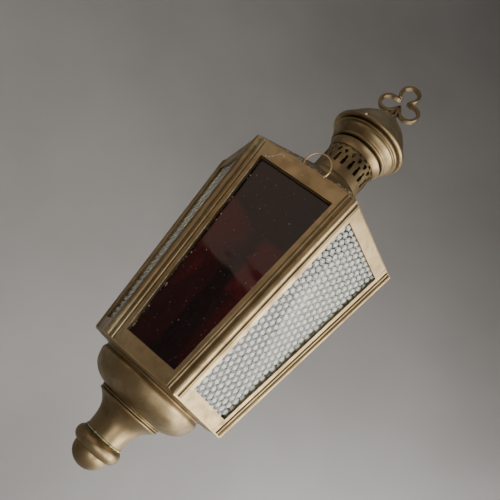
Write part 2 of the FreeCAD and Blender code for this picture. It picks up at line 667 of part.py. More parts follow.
def trefoil():
    """Three-lobed loop bent from one strip, whose ends cross and stand as a fork on the dome."""
    middle = DOME_TOP + TREFOIL_CENTRE_RISE
    half = STRIP_THICKNESS / 2

    def around(angle, distance):
        return distance * math.cos(math.radians(angle)), middle + distance * math.sin(math.radians(angle))

    pieces = []
    for angle in LOBE_ANGLES:
        x, z = around(angle, LOBE_SPACING)
        cusps = [around(angle + turn, CUSP_RADIUS) for turn in (-CUSP_TURN, CUSP_TURN)]
        ring = strip_disc(LOBE_RADIUS + half, x, z).cut(strip_disc(LOBE_RADIUS - half, x, z))
        reach = math.hypot(cusps[0][0] - x, cusps[0][1] - z)
        swing = math.degrees(math.acos(LOBE_RADIUS / reach))
        touches = []
        for cusp in cusps:
            bearing = math.degrees(math.atan2(cusp[1] - z, cusp[0] - x))
            options = [bearing + turn for turn in (-swing, swing)]
            touch = max(options, key=lambda option: abs((option - angle) % 360 - 180))
            touch_angle = math.radians(touch)
            touches.append((x + LOBE_RADIUS * math.cos(touch_angle), z + LOBE_RADIUS * math.sin(touch_angle)))
        outline = ((x, z), touches[0], cusps[0], (0, middle), cusps[1], touches[1], (x, z))
        mouth = [V(px, -STRIP_DEPTH, pz) for px, pz in outline]
        wedge = Part.Face(Part.makePolygon(mouth)).extrude(V(0, 2 * STRIP_DEPTH, 0))
        pieces.append(ring.cut(wedge))
        for cusp, touch in zip(cusps, touches):
            pieces.append(strip_line(cusp, touch))
            pieces.append(strip_disc(half, *cusp))
    crossing = around(270, CUSP_RADIUS)
    for side in (-1, 1):
        pieces.append(strip_line(crossing, (side * LEG_SPREAD, DOME_TOP - LEG_TUCK)))
    strip = pieces[0].multiFuse(pieces[1:]).removeSplitter()
    return strip.cut(dome_block())


def candle_socket():
    inner = CANDLE_RADIUS + SOCKET_CLEARANCE
    return tube(inner + SOCKET_WALL, inner, BASE + SHEET, BASE + SHEET + SOCKET_HEIGHT)


def drip_pan():
    rim = tube(PAN_RADIUS, PAN_RADIUS - SHEET, BASE, BASE + PAN_HEIGHT)
    return rim.fuse(cylinder(PAN_RADIUS, BASE, BASE + SHEET)).removeSplitter()


def candle():
    foot = BASE + SHEET
    body = cylinder(CANDLE_RADIUS, foot, foot + CANDLE_HEIGHT)
    top_edge = [edge for edge in body.Edges if edge.BoundBox.ZMin > foot + CANDLE_HEIGHT / 2]
    return body.makeFillet(CANDLE_RADIUS * CANDLE_SHOULDER, top_edge[:1])


def wick():
    foot = BASE + SHEET + CANDLE_HEIGHT
    return cylinder(WICK_RADIUS, foot, foot + WICK_HEIGHT)


def nodes():
    """Every sub-part by its node name."""
    parts = {}
    for name, azimuth in CORNERS.items():
        parts["post_" + name] = corner_post(azimuth)
    for name, azimuth in FACES.items():
        parts["top_rail_" + name] = top_rail(azimuth)
        parts["bottom_rail_" + name] = bottom_rail(azimuth)
        if name != "front":
            parts["pane_" + name] = fixed_pane(azimuth)
    parts["pane_clips"] = pane_clips()
    parts["ruby_pane"] = ruby_pane()
    parts["slide_frame"] = slide_frame()
    parts["pull_loop"] = pull_loop()
    parts["slide_guide_left"] = slide_guide(-1)
    parts["slide_guide_right"] = slide_guide(1)
    parts["slide_stop"] = slide_stop()
    for maker in (base_plate, bowl, neck_rings, neck, bottom_knob, roof, chimney_collar, gallery_tube,
                  cap_collar, cap_skirt, cap_dome, trefoil, candle_socket, drip_pan, candle, wick):
        parts[maker.__name__] = maker()
    return parts


os.makedirs("parts", exist_ok=True)
for node, shape in nodes().items():
    if not shape.isValid() or not all(solid.isClosed() for solid in shape.Solids):
        raise RuntimeError(node + " is not a closed, valid solid")
    shape.exportStep("parts/" + node + ".step")
    print(node, len(shape.Solids), "solid(s)", round(shape.Volume / 1000, 2), "cm3")
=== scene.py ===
import math
import random

import bmesh
import bpy
from mathutils import Matrix, Vector, noise


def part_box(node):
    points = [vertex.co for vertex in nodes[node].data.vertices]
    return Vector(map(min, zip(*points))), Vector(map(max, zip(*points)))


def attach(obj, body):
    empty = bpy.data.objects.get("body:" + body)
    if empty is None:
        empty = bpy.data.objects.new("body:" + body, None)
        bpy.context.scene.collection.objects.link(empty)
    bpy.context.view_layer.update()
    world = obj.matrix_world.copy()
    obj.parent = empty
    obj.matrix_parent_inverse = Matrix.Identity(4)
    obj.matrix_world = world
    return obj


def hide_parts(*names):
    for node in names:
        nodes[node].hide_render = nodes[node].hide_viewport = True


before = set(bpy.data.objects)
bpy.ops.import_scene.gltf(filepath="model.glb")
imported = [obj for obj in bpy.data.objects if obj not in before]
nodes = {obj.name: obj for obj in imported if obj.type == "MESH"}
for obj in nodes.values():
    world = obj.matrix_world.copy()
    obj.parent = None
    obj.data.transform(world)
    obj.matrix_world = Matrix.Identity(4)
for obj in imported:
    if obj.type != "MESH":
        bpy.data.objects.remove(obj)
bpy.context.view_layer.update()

MM = 0.001
COS30 = math.cos(math.radians(30))

# Sizes of the lantern's body, worked out from the frame
PLATE_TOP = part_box("base_plate")[1].z
BODY_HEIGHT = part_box("top_rail_front")[1].z - PLATE_TOP
BASE_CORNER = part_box("base_plate")[1].x
TOP_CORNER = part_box("roof")[1].x
DOME_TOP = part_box("cap_dome")[1].z
RIM_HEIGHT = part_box("cap_dome")[0].z
RIM_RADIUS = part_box("cap_dome")[1].x
KNOB_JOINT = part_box("neck")[0].z
FACES = {"front": -90, "front_right": -30, "back_right": 30,
         "back": 90, "back_left": 150, "front_left": -150}
CORNERS = (-120, -60, 0, 60, 120, 180)

# Fixed panes, as the design has them, and the bumps pressed in their outer side
FLANGE_REACH = 10.9 * MM
PANE_FRONT = 2.2 * MM
PANE_THICKNESS = 2.5 * MM
PANE_LAP = 4.7 * MM
PANE_LOW = 5.9 * MM
PANE_HIGH = 173.4 * MM
BUMP_PITCH = 6.0 * MM
BUMP_ROW = 5.1 * MM
BUMP_RADIUS = 3.1 * MM
BUMP_HEIGHT = 0.6 * MM
CROWN = "bump_crown"
PANE_COLUMNS = 100
PANE_ROWS = 230

# Trefoil strip, as the design has it
LOBE_SPACING = 12.4 * MM
LOBE_RADIUS = 8.6 * MM
CUSP_RADIUS = 5.2 * MM
STRIP_THICKNESS = 3.1 * MM
STRIP_DEPTH = 5.2 * MM
STRIP_ROUND = 1.0 * MM
LEG_SPREAD = 4.8 * MM
LEG_TUCK = 3.0 * MM
LOBE_ANGLES = (90, 210, 330)
CUSP_TURN = 60
LOBE_STEPS = 48
LEG_STEPS = 8
PIN_SIDES = 20

# Pull loop, as the design has it
LOOP_RADIUS = 10.4 * MM
LOOP_WIRE = 0.68 * MM
LOOP_FOOT_ANGLE = 50
LOOP_STEPS = 56
LOOP_OFFSET = 5.0 * MM
LOOP_DEPTH = 4.05 * MM
LOOP_RISE = 10.0 * MM
SLIDE_DROP = 2.0 * MM

# Solder and dirt: bead sizes, counts and places, from the radius of the knob's turned bead on
KNOB_BEAD = 6.0 * MM
KNOB_SEAM_STEP = 2.4 * MM
KNOB_SEAM_LIFT = 0.2 * MM
KNOB_SEAM_WIRE = 0.8 * MM
ROOF_SEAM_WIRE = 0.52 * MM
ROOF_SEAM_WANDER = 0.25 * MM
ROOF_SEAM_DEPTH = 0.75 * MM
ROOF_SEAM_RISE = 0.05 * MM
ROOF_SEAM_INSET = 7 * MM
ROOF_SEAM_OVERRUN = 3 * MM
ROOF_SEAM_GAP = 0.6 * MM
ROOF_SEAM_CUTS = 4
ROOF_SEAM_SKIPPED = 0.2
ROOF_SEAM_SHORTEST = 3 * MM
# Seed of the one sequence that places the solder, and the spans that its noise seeds are drawn from
SOLDER_SEED = 7
RUN_SEEDS = 50
BLOB_SEEDS = 9
BLOBS_PER_POST = 3
CRUST_GRAINS = 90
# Where the crust's grains fall on the roof, in mm: across, and the nearest, farthest and likeliest distance
CRUST_ACROSS = (-34, 36)
CRUST_BACK = (50, 72, 68)
CRUST_DROP_HEIGHT = 1.0
# Depth of the ruby glass behind the face's plane, and the pale flecks along its left edge, partly a painted
# highlight of that edge
RUBY_DEPTH = 4.6 * MM
RUBY_FLECK_HIGHLIGHTS = 26
FLECK_DEPTH = 0.12 * MM
# Splash on the front rail: share of the half width and mm above the rail's top, then blobs with a size in mm
SPLASH_LINE = ((-0.62, -9.8), (-0.59, -8.0), (-0.57, -6.6), (-0.52, -5.0), (-0.50, -3.2), (-0.43, -1.4))
SPLASH_BLOBS = ((-0.66, -9.8, 1.0), (-0.56, -7.3, 0.6), (-0.42, -2.2, 0.7), (0.05, -6.5, 0.45))
SPLASH_WIRE = 0.28 * MM
SPLASH_WANDER = 0.1 * MM
SPLASH_PROUD = 0.05 * MM
SPLASH_BLOB_DEPTH = 0.3 * MM
# Pale burrs along the front opening, partly a painted highlight of its edges: side, and the heights in mm
# between which each one runs
BURR_HIGHLIGHTS = ((-1, 12, 60), (-1, 64, 110), (-1, 113, 166), (1, 30, 52), (1, 90, 104))
BURR_WIRE = 0.24 * MM
BURR_WANDER = 0.12 * MM
BURR_DEPTH = 0.15 * MM
BURR_INSET = 0.1 * MM
# Pale solder speck on the cap's brim that also paints a glint: its azimuth in degrees and its half-sizes
BRIM_GLINT_AZIMUTH = -102
BRIM_GLINT_SIZE = (1.3 * MM, 1.0 * MM, 1.1 * MM)
FINIAL_FOOT_SIZE = (2.3 * MM, 3.1 * MM, 0.9 * MM)

# Candle: its wax, kept inside the plain candle, and the runs as (azimuth, length, thickness share)
WAX_SHRINK = 0.5 * MM
WAX_RUN = 0.45 * MM
WAX_LIMIT = 0.48 * MM
WAX_FOOT = 12 * MM
WAX_GRAIN = 0.12 * MM
WAX_RUNS = ((math.radians(-70), 26 * MM, 0.9), (math.radians(40), 17 * MM, 0.7),
            (math.radians(165), 34 * MM, 0.8))
WAX_STEPS = 40
CANDLE_SIDES = 72
WICK_WIRE = 0.75 * MM
WICK_TAPER = (1, 1, 0.95, 0.9, 0.8, 0.5)

# Camera, in units of the body's height from the top of the base plate, and its lens in millimetres
CAMERA_PLACE = Vector((0.72361, -2.43024, -0.06776))
CAMERA_FORWARD = Vector((-0.29974, 0.90831, 0.29177))
CAMERA_UP = Vector((-0.57292, -0.41593, 0.70623))
CAMERA_LENS = 41.545
CAMERA_SENSOR = 36
CAMERA_NEAR = 0.01
CAMERA_FAR = 50

# Stage, in metres
FLOOR = -1.0
FLOOR_RING = 0.8
WALL_RADIUS = 2.6
WALL_TOP = 4.5
WALL_BEND = 0.9
BEND_STEPS = 8
STAGE_SIDES = 96
ROOM_COLOUR = (0.62, 0.62, 0.63, 1)
ROOM_STRENGTH = 0.22

# Sharpest turn of a swept path that its section is widened for, and the widest it gets
SHARPEST_MITRE = 0.2
WIDEST_MITRE = 1.6


# ---------------------------------------------------------------- camera, stage and light

def place_camera():
    """Camera held about half a metre off, looking a little up and rolled, at the ruby face."""
    forward = CAMERA_FORWARD.normalized()
    right = forward.cross(CAMERA_UP).normalized()
    up = right.cross(forward)
    data = bpy.data.cameras.new("camera")
    data.sensor_width = CAMERA_SENSOR
    data.lens = CAMERA_LENS
    data.clip_start = CAMERA_NEAR
    data.clip_end = CAMERA_FAR
    camera = bpy.data.objects.new("camera", data)
    where = CAMERA_PLACE * BODY_HEIGHT + Vector((0, 0, PLATE_TOP))
    turn = Matrix((right, up, -forward)).transposed().to_4x4()
    camera.matrix_world = Matrix.Translation(where) @ turn
    bpy.context.scene.collection.objects.link(camera)
    bpy.context.scene.camera = camera


def build_stage():
    """Pale floor that curves up into a round wall, far enough away to leave every side open."""
    start = WALL_RADIUS - WALL_BEND
    profile = [(0.0, FLOOR), (FLOOR_RING, FLOOR), (start, FLOOR)]
    for step in range(1, BEND_STEPS + 1):
        angle = math.radians(90 * step / BEND_STEPS)
        rise = WALL_BEND - WALL_BEND * math.cos(angle)
        profile.append((start + WALL_BEND * math.sin(angle), FLOOR + rise))
    profile.append((WALL_RADIUS, WALL_TOP))
    backdrop = lathe("backdrop", profile, STAGE_SIDES)
    backdrop.data.materials.append(backdrop_material())


def area_light(name, where, target, size, power, colour):
    data = bpy.data.lights.new(name, "AREA")
    data.shape = "RECTANGLE"
    data.size, data.size_y = size
    data.energy = power
    data.color = colour
    lamp = bpy.data.objects.new(name, data)
    lamp.location = where
    lamp.rotation_euler = (Vector(target) - Vector(where)).to_track_quat("-Z", "Y").to_euler()
    bpy.context.scene.collection.objects.link(lamp)


def build_lights():
    """Tall window on the right, weaker lights from below, above and the room, and one on the wall."""
    middle = (0, 0, PLATE_TOP + BODY_HEIGHT * 0.6)
    foot, cap = (0, 0, 0.08), (0, 0, 0.3)
    area_light("window", (1.3, 0.12, 0.02), middle, (1.1, 1.2), 31, (1.0, 0.97, 0.92))
    area_light("low_fill", (0.75, -1.0, -0.35), foot, (0.7, 0.7), 5, (1.0, 0.97, 0.93))
    area_light("sky", (-0.5, -0.6, 1.6), middle, (1.6, 1.6), 1.5, (0.93, 0.96, 1.0))
    area_light("room", (-0.55, -1.45, 0.68), cap, (1.5, 0.9), 2.4, (1.0, 0.78, 0.62))
    area_light("wall_wash", (1.25, 1.2, -0.35), (0.75, 2.6, -0.9), (0.9, 0.9), 62, (0.96, 0.98, 1.0))
    world = bpy.data.worlds.new("room")
    world.use_nodes = True
    surface = world.node_tree.nodes["Background"]
    surface.inputs["Color"].default_value = ROOM_COLOUR
    surface.inputs["Strength"].default_value = ROOM_STRENGTH
    bpy.context.scene.world = world


# ---------------------------------------------------------------- mesh helpers

def linked(name, data):
    """Smooth-shaded object in the scene from mesh data."""
    for polygon in data.polygons:
        polygon.use_smooth = True
    obj = bpy.data.objects.new(name, data)
    bpy.context.scene.collection.objects.link(obj)
    return obj


def mesh_object(name, verts, faces):
    data = bpy.data.meshes.new(name)
    data.from_pydata([tuple(v) for v in verts], [], faces)
    data.validate()
    data.update()
    tidy = bmesh.new()
    tidy.from_mesh(data)
    bmesh.ops.recalc_face_normals(tidy, faces=tidy.faces)
    tidy.to_mesh(data)
    tidy.free()
    return linked(name, data)


def lathe(name, profile, sides):
    """Surface of revolution about Z from (radius, height) points; a zero radius closes it."""
    verts, rings = [], []
    for radius, z in profile:
        if radius == 0:
            rings.append([len(verts)] * sides)
            verts.append((0, 0, z))
            continue
        rings.append(list(range(len(verts), len(verts) + sides)))
        for k in range(sides):
            angle = 2 * math.pi * k / sides
            verts.append((radius * math.cos(angle), radius * math.sin(angle), z))
    faces = []
    for low, high in zip(rings, rings[1:]):
        for k in range(sides):
            after = (k + 1) % sides
            corners = [low[k], low[after], high[after], high[k]]
            unique = list(dict.fromkeys(corners))
            if len(unique) > 2:
                faces.append(unique)
    return mesh_object(name, verts, faces)


def rounded_section(thickness, depth, radius, steps=4):
    """Rounded rectangle of (in-plane, across) points."""
    points = []
    for a, b, start in ((1, 1, 0), (-1, 1, 90), (-1, -1, 180), (1, -1, 270)):
        for step in range(steps + 1):
            angle = math.radians(start + 90 * step / steps)
            points.append((a * (thickness / 2 - radius) + radius * math.cos(angle),
                           b * (depth / 2 - radius) + radius * math.sin(angle)))
    return points


def round_section(radius, sides=14):
    return [(radius * math.cos(2 * math.pi * k / sides), radius * math.sin(2 * math.pi * k / sides))
            for k in range(sides)]


def mitre(before, after):
    """How much wider a section is where a path turns, up to a limit."""
    if not (before and after):
        return 1.0
    return min(1 / max(math.sqrt((1 + before.dot(after)) / 2), SHARPEST_MITRE), WIDEST_MITRE)


def planar_sweep(name, path, normal, section, scale=None):
    """Sweeps a section along an open path in one plane, with closed ends."""
    count = len(section)
    verts, faces = [], []
    for k, point in enumerate(path):
        before = (point - path[k - 1]).normalized() if k else None
        after = (path[k + 1] - point).normalized() if k + 1 < len(path) else None
        tangent = ((before or after) + (after or before)).normalized()
        side = tangent.cross(normal).normalized()
        stretch = mitre(before, after)
        grow = scale[k] if scale else 1.0
        verts += [point + side * (a * stretch * grow) + normal * (b * grow) for a, b in section]
    for k in range(len(path) - 1):
        low, high = k * count, (k + 1) * count
        for j in range(count):
            after = (j + 1) % count
            faces.append((low + j, low + after, high + after, high + j))
    faces.append(list(range(count)))
    faces.append([(len(path) - 1) * count + j for j in reversed(range(count))])
    return mesh_object(name, verts, faces)


def finish_piece(obj, body, slot, material, *replaced):
    """Paints a piece, rides it on its body and hides the CAD nodes it replaces; its slot is not used."""
    obj.data.materials.clear()
    obj.data.materials.append(material)
    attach(obj, body)
    if replaced:
        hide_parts(*replaced)


def corner_radius(height):
    """Distance from the axis to the body's corner line at a height above the base plate."""
    return BASE_CORNER + (TOP_CORNER - BASE_CORNER) * height / BODY_HEIGHT


def face_point(azimuth, across, height, depth):
    """Point on a leaning face of the body, a level depth behind the face's plane."""
    out = outward(azimuth)
    side = Vector((-out.y, out.x, 0))
    return out * (corner_radius(height) * COS30 - depth) + side * across + Vector((0, 0, PLATE_TOP + height))


def half_side(height):
    """Half the width of a face at a height above the base plate."""
    return corner_radius(height) / 2


def outward(azimuth):
    angle = math.radians(azimuth)
    return Vector((math.cos(angle), math.sin(angle), 0))


# ---------------------------------------------------------------- materials

# Sockets of the colour mix node, which have the same names for each of its data types
MIX_FIRST = 6
MIX_SECOND = 7
MIX_RESULT = 2


class Shader:
    """Small wrapper that adds nodes to one material and links them."""

    def __init__(self, name):
        self.material = bpy.data.materials.new(name)
        self.material.use_nodes = True
        self.tree = self.material.node_tree
        self.surface = self.tree.nodes["Principled BSDF"]
        self.place = self.tree.nodes.new("ShaderNodeTexCoord").outputs["Object"]

    def node(self, kind, settings=None, **inputs):
        made = self.tree.nodes.new(kind)
        for key, value in (settings or {}).items():
            setattr(made, key, value)
        for key, value in inputs.items():
            self.feed(made.inputs[key.replace("_", " ")], value)
        return made

    def feed(self, socket, value):
        if isinstance(value, bpy.types.NodeSocket):
            self.tree.links.new(value, socket)
        else:
            socket.default_value = value

    def noise(self, scale, detail=4.0, roughness=0.55, stretch=None, shift=(0, 0, 0)):
        place = self.place
        if stretch or any(shift):
            place = self.node("ShaderNodeMapping", Vector=place, Scale=stretch or (1, 1, 1), Location=shift)
            place = place.outputs["Vector"]
        made = self.node("ShaderNodeTexNoise", Vector=place, Scale=scale, Detail=detail, Roughness=roughness)
        return made.outputs["Fac"]

    def ramp(self, value, low, high, out_low=0.0, out_high=1.0):
        made = self.node("ShaderNodeMapRange", {"interpolation_type": "SMOOTHSTEP"})
        for index, number in enumerate((value, low, high, out_low, out_high)):
            self.feed(made.inputs[index], number)
        return made.outputs["Result"]

    def math(self, operation, first, second):
        made = self.node("ShaderNodeMath", {"operation": operation, "use_clamp": operation != "SUBTRACT"})
        self.feed(made.inputs[0], first)
        self.feed(made.inputs[1], second)
        return made.outputs["Value"]

    def mix(self, factor, first, second):
        made = self.node("ShaderNodeMix", {"data_type": "RGBA"})
        self.feed(made.inputs["Factor"], factor)
        self.feed(made.inputs[MIX_FIRST], first)
        self.feed(made.inputs[MIX_SECOND], second)
        return made.outputs[MIX_RESULT]

    def near(self, centre, radius):
        """Mask that is 1 at a point and fades to 0 at a radius."""
        offset = self.node("ShaderNodeVectorMath", {"operation": "DISTANCE"})
        self.feed(offset.inputs[0], self.place)
        self.feed(offset.inputs[1], centre)
        return self.ramp(offset.outputs["Value"], 0.0, radius, 1.0, 0.0)

    def bump(self, height, distance, strength=1.0, under=None):
        made = self.node("ShaderNodeBump", Height=height, Distance=distance, Strength=strength)
        if under is not None:
            self.feed(made.inputs["Normal"], under)
        return made.outputs["Normal"]

    def set(self, **inputs):
        for key, value in inputs.items():
            self.feed(self.surface.inputs[key.replace("_", " ")], value)
        return self.material


def tone(colour, light=1.0):
    """Colour with its alpha, lightened or darkened."""
    return tuple(channel * light for channel in colour) + (1,)


def backdrop_material():
    shader = Shader("pale_paper")
    cloudy = shader.ramp(shader.noise(1.2, 3), 0.3, 0.7)
    colour = shader.mix(cloudy, tone((0.37, 0.352, 0.335)), tone((0.42, 0.402, 0.385)))
    return shader.set(Base_Color=colour, Roughness=0.85)


GLASS_IOR = 1.52

# Brass: its patina, what lies on its edges and in spots, and the grime and painted shade in its grooves
PATINA_DARK = (0.31, 0.230, 0.124)
PATINA_LIGHT = (0.46, 0.352, 0.196)
PATINA_BLOTCH = (0.20, 0.142, 0.078)
RUBBED_BRASS = (0.60, 0.46, 0.26)
RUBBED_WIDTH = 0.7 * MM
# Colour of the grime and painted shade in grooves and corners, and how far the occlusion that finds them
# reaches
GRIME_AND_SHADE = (0.055, 0.040, 0.022)
GROOVE_SHADE_REACH = 3.5 * MM
VERDIGRIS = (0.30, 0.34, 0.24)
# Places where verdigris gathers, each a centre and a radius in metres
VERDIGRIS_SPOTS = [((-0.034, -0.058, 0.088), 0.030), ((-0.045, -0.02, 0.070), 0.035),
                   ((-0.046, -0.080, 0.262), 0.030), ((0.02, -0.09, 0.09), 0.02)]


def rubbed_edges(shader, blotch):
    """Mask of the sharp edges, worn unevenly."""
    rounded = shader.node("ShaderNodeBevel", {"samples": 4}, Radius=RUBBED_WIDTH)
    plain = shader.node("ShaderNodeNewGeometry")
    facing = shader.node("ShaderNodeVectorMath", {"operation": "DOT_PRODUCT"})
    shader.feed(facing.inputs[0], rounded.outputs["Normal"])
    shader.feed(facing.inputs[1], plain.outputs["Normal"])
    edge = shader.ramp(facing.outputs["Value"], 0.985, 0.90)
    return shader.math("MULTIPLY", edge, shader.ramp(blotch, 0.35, 0.6, 0.25, 0.8))


def grime_and_shade_mask(shader, blotch):
    """Mask of the corners and grooves, from ambient occlusion: grime and painted shade."""
    sheltered = shader.node("ShaderNodeAmbientOcclusion", {"samples": 6}, Distance=GROOVE_SHADE_REACH)
    depth = shader.ramp(sheltered.outputs["AO"], 0.80, 0.35)
    return shader.math("MULTIPLY", depth, shader.ramp(blotch, 0.25, 0.6, 0.55, 0.95))


def verdigris_mask(shader, shift, amount):
    """Mask of greenish speckles, thick at the named spots and sparse elsewhere."""
    spots = [shader.near(centre, radius) for centre, radius in VERDIGRIS_SPOTS]
    green = spots[0]
    for spot in spots[1:]:
        green = shader.math("MAXIMUM", green, spot)
    speckle = shader.ramp(shader.noise(420, 5, 0.7, shift=(shift, 1, 0)), 0.49, 0.62)
    green = shader.math("MULTIPLY", green, speckle)
    stray = shader.math("MULTIPLY", shader.ramp(shader.noise(34, 3), 0.60, 0.74, 0, 0.6), speckle)
    return shader.math("MULTIPLY", shader.math("ADD", green, stray), amount)


def brass_material(name, shift, light=1.0, grain_stretch=(1, 1, 1), spotted=1.0):
    """Satin antique brass: blotchy brown patina, rubbed edges, fine scratches, greenish spots, and grime and
    painted shade in its grooves; a light factor below 1 gives a darker copy that paints shade, and above 1 a
    lighter copy that paints light.
    """
    shader = Shader(name)
    broad = shader.noise(22, 5, 0.6, shift=(shift, shift * 0.7, 0))
    blotch = shader.noise(95, 6, 0.62, shift=(0, shift, shift))
    fine = shader.noise(650, 4, 0.6, stretch=grain_stretch)
    scratch = shader.noise(260, 3, 0.7, stretch=(9, 9, 0.6), shift=(shift, 0, 0))
    green = verdigris_mask(shader, shift, spotted)
    patina = shader.ramp(broad, 0.35, 0.68)
    colour = shader.mix(patina, tone(PATINA_DARK, light), tone(PATINA_LIGHT, light))
    colour = shader.mix(shader.ramp(blotch, 0.46, 0.72, 0, 0.55), colour, tone(PATINA_BLOTCH, light))
    colour = shader.mix(rubbed_edges(shader, blotch), colour, tone(RUBBED_BRASS))
    # Grime and painted shade darken the grooves and corners
    colour = shader.mix(grime_and_shade_mask(shader, blotch), colour, tone(GRIME_AND_SHADE))
    colour = shader.mix(green, colour, tone(VERDIGRIS))
    rough = shader.ramp(blotch, 0.35, 0.7, 0.38, 0.52)
    rough = shader.math("ADD", rough, shader.ramp(scratch, 0.55, 0.75, 0, 0.12))
    rough = shader.math("ADD", rough, shader.math("MULTIPLY", green, 0.3))
    metal = shader.math("SUBTRACT", 1.0, shader.math("MULTIPLY", green, 0.85))
    normal = shader.bump(fine, 0.05 * MM, 0.4)
    normal = shader.bump(scratch, 0.02 * MM, 0.2, normal)
    normal = shader.bump(shader.noise(30, 2), 0.3 * MM, 0.1, normal)
    return shader.set(Base_Color=colour, Roughness=rough, Metallic=metal, Normal=normal)


def solder_material(name, dark, light):
    """Old solder between two tones, with dirt in its hollows."""
    shader = Shader(name)
    colour = shader.mix(shader.ramp(shader.noise(300, 5), 0.35, 0.7), tone(dark), tone(light))
    dirt = shader.ramp(shader.noise(90, 4), 0.52, 0.72, 0, 0.8)
    colour = shader.mix(dirt, colour, tone((0.26, 0.27, 0.18)))
    normal = shader.bump(shader.noise(700, 4), 0.2 * MM, 0.6)
    return shader.set(Base_Color=colour, Roughness=0.5, Metallic=0.3, Normal=normal)


def clear_glass_material():
    """Clear pressed glass whose bump crowns are made partly pale and diffuse, a painted highlight, and clear
    between them.
    """
    shader = Shader("pressed_glass")
    tint = shader.ramp(shader.noise(30, 3), 0.4, 0.7)
    colour = shader.mix(tint, tone((0.93, 0.96, 0.88)), tone((0.84, 0.89, 0.80)))
    # The crowns turn pale and diffuse, varied by noise: a painted highlight on each bump
    crown = shader.node("ShaderNodeAttribute", {"attribute_name": CROWN}).outputs["Fac"]
    highlight_variation = shader.ramp(shader.noise(45, 4), 0.3, 0.7, 0.8, 1.0)
    crown_highlight = shader.math("MULTIPLY", shader.ramp(crown, 0.15, 0.95, 0.0, 0.60), highlight_variation)
    rough = shader.ramp(shader.noise(160, 4), 0.4, 0.7, 0.05, 0.10)
    rough = shader.math("ADD", rough, shader.math("MULTIPLY", crown_highlight, 0.15))
    clear = shader.math("SUBTRACT", 1.0, crown_highlight)
    normal = shader.bump(shader.noise(900, 2), 0.03 * MM, 0.2)
    return shader.set(Base_Color=colour, Roughness=rough, Normal=normal,
                      Transmission_Weight=clear, IOR=GLASS_IOR)


def ruby_glass_material():
    """Deep red glass with dust specks, fine scratches and a slightly wavy face."""
    shader = Shader("ruby_glass")
    tint = shader.ramp(shader.noise(14, 3), 0.35, 0.7)
    colour = shader.mix(tint, tone((0.085, 0.002, 0.004)), tone((0.05, 0.0015, 0.003)))
    dust = shader.ramp(shader.noise(520, 2, 0.5), 0.70, 0.77)
    scratch = shader.ramp(shader.noise(180, 2, 0.5, stretch=(14, 14, 0.5)), 0.71, 0.79, 0, 0.7)
    dirt = shader.math("MAXIMUM", dust, scratch)
    colour = shader.mix(dirt, colour, tone((0.45, 0.38, 0.36)))
    rough = shader.ramp(shader.noise(40, 3), 0.4, 0.7, 0.04, 0.09)
    rough = shader.math("ADD", rough, shader.math("MULTIPLY", dirt, 0.5))
    clear = shader.math("SUBTRACT", 1.0, shader.math("MULTIPLY", dirt, 0.7))
    normal = shader.bump(shader.noise(22, 2), 1.6 * MM, 0.5)
    return shader.set(Base_Color=colour, Roughness=rough, Normal=normal,
                      Transmission_Weight=clear, IOR=GLASS_IOR)


def wax_material():
    shader = Shader("wax")
    shader.surface.subsurface_method = "RANDOM_WALK"
    aged = shader.ramp(shader.noise(60, 4), 0.4, 0.7)
    cream = shader.mix(aged, tone((0.83, 0.76, 0.60)), tone((0.74, 0.66, 0.49)))
    normal = shader.bump(shader.noise(180, 3), 0.3 * MM, 0.3)
    return shader.set(Base_Color=cream, Roughness=0.42, Normal=normal,
                      Subsurface_Weight=0.3, Subsurface_Scale=4 * MM)


def wick_material():
    shader = Shader("charred_cotton")
    charred = shader.ramp(shader.noise(900, 3), 0.4, 0.65)
    soot = shader.mix(charred, tone((0.02, 0.018, 0.016)), tone((0.11, 0.09, 0.07)))
    normal = shader.bump(shader.noise(1500, 3, stretch=(1, 1, 0.3)), 0.2 * MM, 0.7)
    return shader.set(Base_Color=soot, Roughness=0.95, Normal=normal)


# Copies of one brass: the light factors below 1 paint shade on the spun parts, gallery and finial, and the
# one above 1 paints light on the wire
MATERIALS = {
    "frame": brass_material("brass_frame", 0.0),
    "spun": brass_material("brass_spun_painted_shade", 3.1, 0.86, (1, 1, 6)),
    "gallery": brass_material("brass_gallery_painted_shade", 5.7, 0.92),
    "finial": brass_material("brass_finial_painted_shade", 8.3, 0.72),
    "wire": brass_material("brass_wire_painted_light", 9.9, 1.8, spotted=0.3),
    "solder": solder_material("solder", (0.47, 0.44, 0.32), (0.76, 0.73, 0.60)),
    "green_solder": solder_material("green_solder", (0.34, 0.33, 0.17), (0.58, 0.56, 0.32)),
    "clear": clear_glass_material(),
    "ruby": ruby_glass_material(),
    "wax": wax_material(),
    "wick": wick_material(),
}

NODE_MATERIALS = {"ruby_pane": "ruby", "candle": "wax", "wick": "wick", "trefoil": "finial",
                  "pull_loop": "wire", "gallery_tube": "gallery", "cap_collar": "gallery",
                  "cap_skirt": "spun", "cap_dome": "spun", "bowl": "spun", "neck": "spun",
                  "neck_rings": "spun", "bottom_knob": "spun", "chimney_collar": "spun"}


def paint_nodes():
    """Gives every CAD node its material."""
    for name, obj in nodes.items():
        key = NODE_MATERIALS.get(name, "frame")
        if name.startswith("pane_") and name != "pane_clips":
            key = "clear"
        obj.data.materials.clear()
        obj.data.materials.append(MATERIALS[key])


# ---------------------------------------------------------------- pieces

def merged(name, parts):
    """One object from several meshes."""
    verts, faces = [], []
    for part in parts:
        start = len(verts)
        verts += [vertex.co.copy() for vertex in part.data.vertices]
        faces += [[start + index for index in polygon.vertices] for polygon in part.data.polygons]
        bpy.data.objects.remove(part)
    return mesh_object(name, verts, faces)


